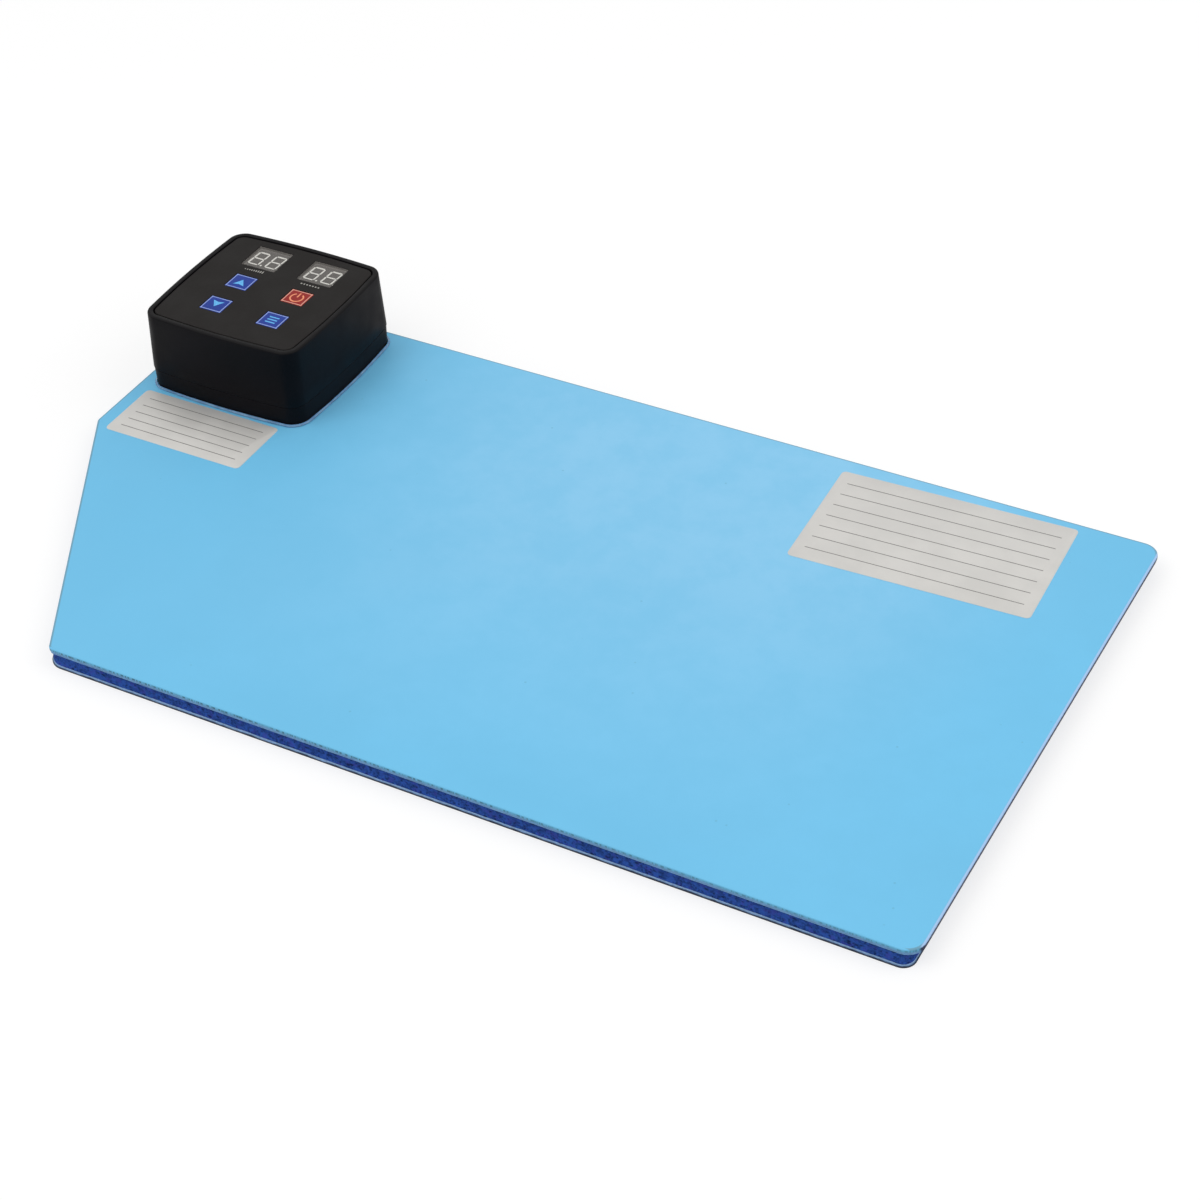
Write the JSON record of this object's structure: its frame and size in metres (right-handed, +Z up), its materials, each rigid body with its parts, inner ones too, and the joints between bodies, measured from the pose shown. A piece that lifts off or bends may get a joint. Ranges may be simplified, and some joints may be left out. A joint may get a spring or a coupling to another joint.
{
  "type": "lcd separator heating station",
  "caption": "Flat silicone heating mat on a foam pad, with a bowed control box on a corner tab: keys, display windows and a mains inlet.",
  "frame": {"origin": "on the bench, under the middle of the mat's overall outline", "axes": "+Z up, +X along the mat's long side away from the control box, +Y to the back edge"},
  "size_m": [0.542, 0.3, 0.0566],
  "materials": {
    "blue_silicone": "smooth satin silicone",
    "edge_silicone": "plain silicone sheet",
    "blue_foam": "cut closed-cell silicone foam",
    "skin_rubber": "thin rubber skin",
    "black_plastic": "fine moulded texture",
    "panel_film": "satin film",
    "key_blue": "satin",
    "key_red": "satin",
    "smoky_window": "smoky, gloss",
    "display_grey": "matt",
    "circuit_green": "solder mask",
    "component_black": "matt",
    "transformer_steel": "varnished laminations",
    "relay_blue": "satin",
    "terminal_green": "satin",
    "nylon_white": "satin",
    "clear_sealant": "translucent sealant",
    "screw_steel": "zinc plated",
    "bright_metal": "nickel plated",
    "etched_foil": "etched foil",
    "plate_steel": "galvanised",
    "red_lead": "insulated wire",
    "black_lead": "insulated wire",
    "white_lead": "insulated wire",
    "grey_ribbon": "flat cable"
  },
  "bodies": {
    "station": {"bottom_skin": "skin_rubber", "foam_pad": "blue_foam", "clamp_plate": "plate_steel", "thermal_cutout": "bright_metal", "temperature_sensor": "component_black", "heater_base_sheet": "edge_silicone", "heating_element": "etched_foil", "top_sheet": "blue_silicone", "sensor_lead": "white_lead", "cutout_lead": "red_lead", "heater_lead_live": "red_lead", "heater_lead_neutral": "black_lead", "line_wire": "red_lead", "neutral_wire": "black_lead", "ribbon_cable": "grey_ribbon", "sealant_bead": "clear_sealant", "base_tray": "black_plastic", "top_shell": "black_plastic", "control_panel": "panel_film", "temperature_window": "smoky_window", "time_window": "smoky_window", "temperature_display": "display_grey", "time_display": "display_grey", "display_board": "circuit_green", "controller_chip": "component_black", "buzzer": "component_black", "power_board": "circuit_green", "power_transformer": "transformer_steel", "relay": "relay_blue", "filter_capacitor": "component_black", "fuse": "bright_metal", "terminal_block": "terminal_green", "sensor_socket": "nylon_white", "inlet_socket": "black_plastic", "inlet_pin_line": "bright_metal", "inlet_pin_neutral": "bright_metal", "inlet_pin_earth": "bright_metal", "corner_screw_1": "screw_steel", "display_board_screw_1": "screw_steel", "corner_screw_2": "screw_steel", "display_board_screw_2": "screw_steel", "corner_screw_3": "screw_steel", "display_board_screw_3": "screw_steel", "corner_screw_4": "screw_steel", "display_board_screw_4": "screw_steel", "power_board_screw_1": "screw_steel", "power_board_screw_2": "screw_steel", "switch_up": "component_black", "switch_down": "component_black", "switch_power": "component_black", "switch_mode": "component_black"},
    "key_up": {"key_up": "key_blue", "plunger_up": "nylon_white"},
    "key_down": {"key_down": "key_blue", "plunger_down": "nylon_white"},
    "key_power": {"key_power": "key_red", "plunger_power": "nylon_white"},
    "key_mode": {"key_mode": "key_blue", "plunger_mode": "nylon_white"}
  },
  "joints": [
    {"name": "press_up", "type": "slide", "parent": "station", "child": "key_up", "axis": [0, 0, -1], "range_m": [0, 0.0004], "stiffness_N_per_m": 600, "springref_m": -0.0005},
    {"name": "press_down", "type": "slide", "parent": "station", "child": "key_down", "axis": [0, 0, -1], "range_m": [0, 0.0004], "stiffness_N_per_m": 600, "springref_m": -0.0005},
    {"name": "press_power", "type": "slide", "parent": "station", "child": "key_power", "axis": [0, 0, -1], "range_m": [0, 0.0004], "stiffness_N_per_m": 600, "springref_m": -0.0005},
    {"name": "press_mode", "type": "slide", "parent": "station", "child": "key_mode", "axis": [0, 0, -1], "range_m": [0, 0.0004], "stiffness_N_per_m": 600, "springref_m": -0.0005}
  ]
}
